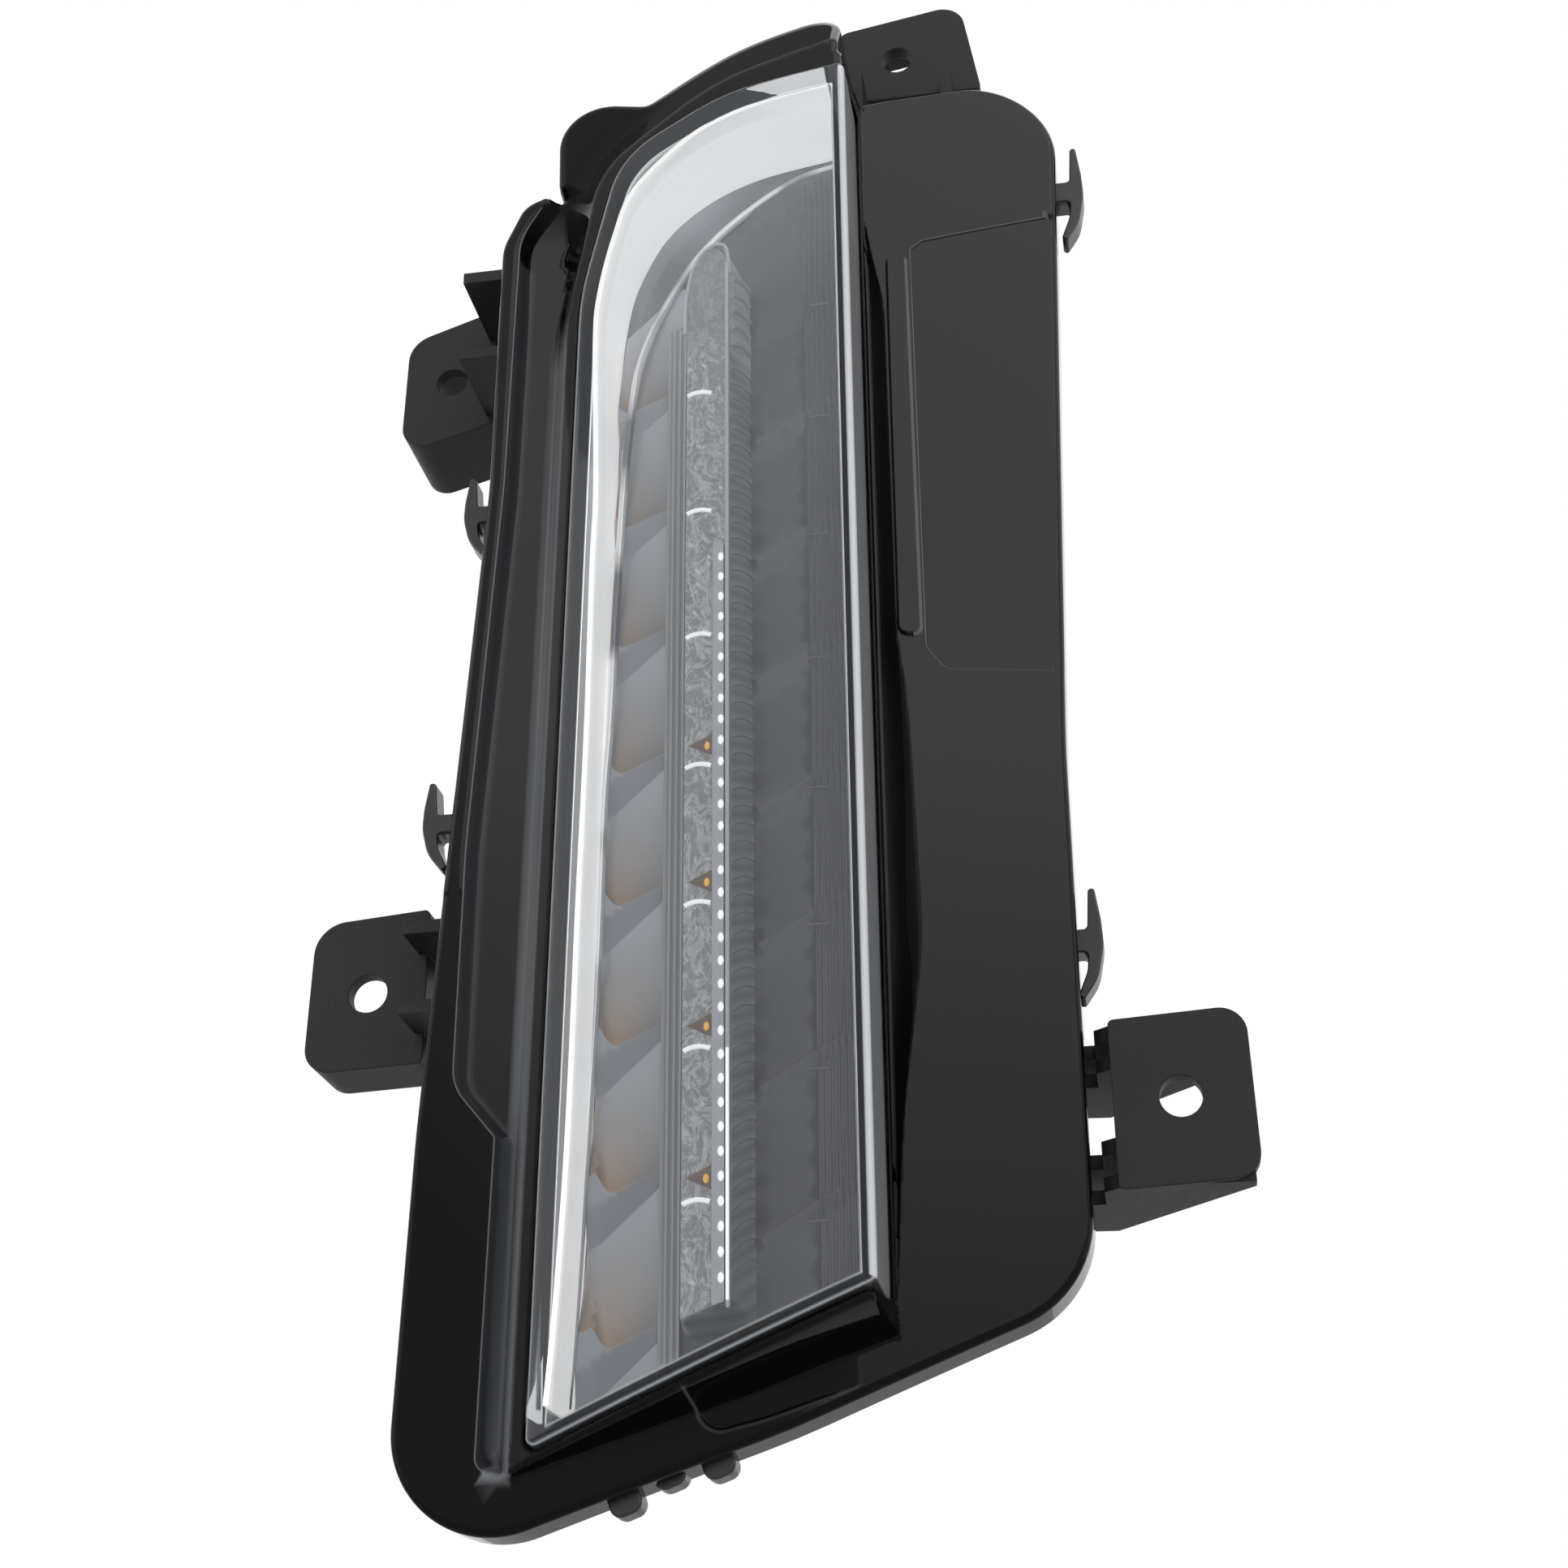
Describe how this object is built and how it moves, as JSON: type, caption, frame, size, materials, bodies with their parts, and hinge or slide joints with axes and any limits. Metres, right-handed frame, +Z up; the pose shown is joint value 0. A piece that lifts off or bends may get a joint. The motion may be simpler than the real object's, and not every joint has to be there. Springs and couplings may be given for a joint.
{
  "type": "daytime running light",
  "caption": "Slim upright daytime running light with a sail-shaped clear lens in a gloss-black bezel, on a housing with fixing ears.",
  "frame": {"origin": "Middle of the right ear's hole, on the front face of that ear.", "axes": "+X to the lamp's right seen from in front, +Z up along the lamp, and the front faces -Y, along the ears' holes."},
  "size_m": [0.1611, 0.0714, 0.311],
  "materials": {
    "clear_lens": "clear polished",
    "clear_optic": "clear, finely textured",
    "gloss_black": "piano black",
    "matt_black": "fine grained",
    "white_plastic": "satin white",
    "bright_metal": "vacuum metallised",
    "dark_grey": "satin dark grey",
    "led_white": "light source, white",
    "led_amber": "light source, amber",
    "board_green": "solder mask",
    "chip_black": "moulded",
    "screw_steel": "zinc plated",
    "pad_grey": "soft pad",
    "cast_aluminium": "as extruded",
    "seal_rubber": "soft",
    "terminal_brass": "plated"
  },
  "bodies": {
    "root": {"outer_lens": "clear_lens", "lens_seal": "seal_rubber", "front_bezel": "gloss_black", "rear_housing": "matt_black", "white_surround": "white_plastic", "reflector": "bright_metal", "inner_bezel": "dark_grey", "light_bar": "clear_optic", "light_guide": "clear_optic", "white_leds": "led_white", "amber_leds": "led_amber", "led_board": "board_green", "driver_chips": "chip_black", "board_plug": "white_plastic", "board_screws": "screw_steel", "thermal_pad": "pad_grey", "heat_sink": "cast_aluminium", "heat_sink_gasket": "seal_rubber", "heat_sink_screws": "screw_steel", "trim_screws": "screw_steel", "bezel_screws": "screw_steel", "connector_socket": "matt_black", "socket_gasket": "seal_rubber", "socket_terminals": "terminal_brass", "socket_screws": "screw_steel", "vent_membrane": "white_plastic", "vent_cap": "seal_rubber"}
  },
  "joints": []
}
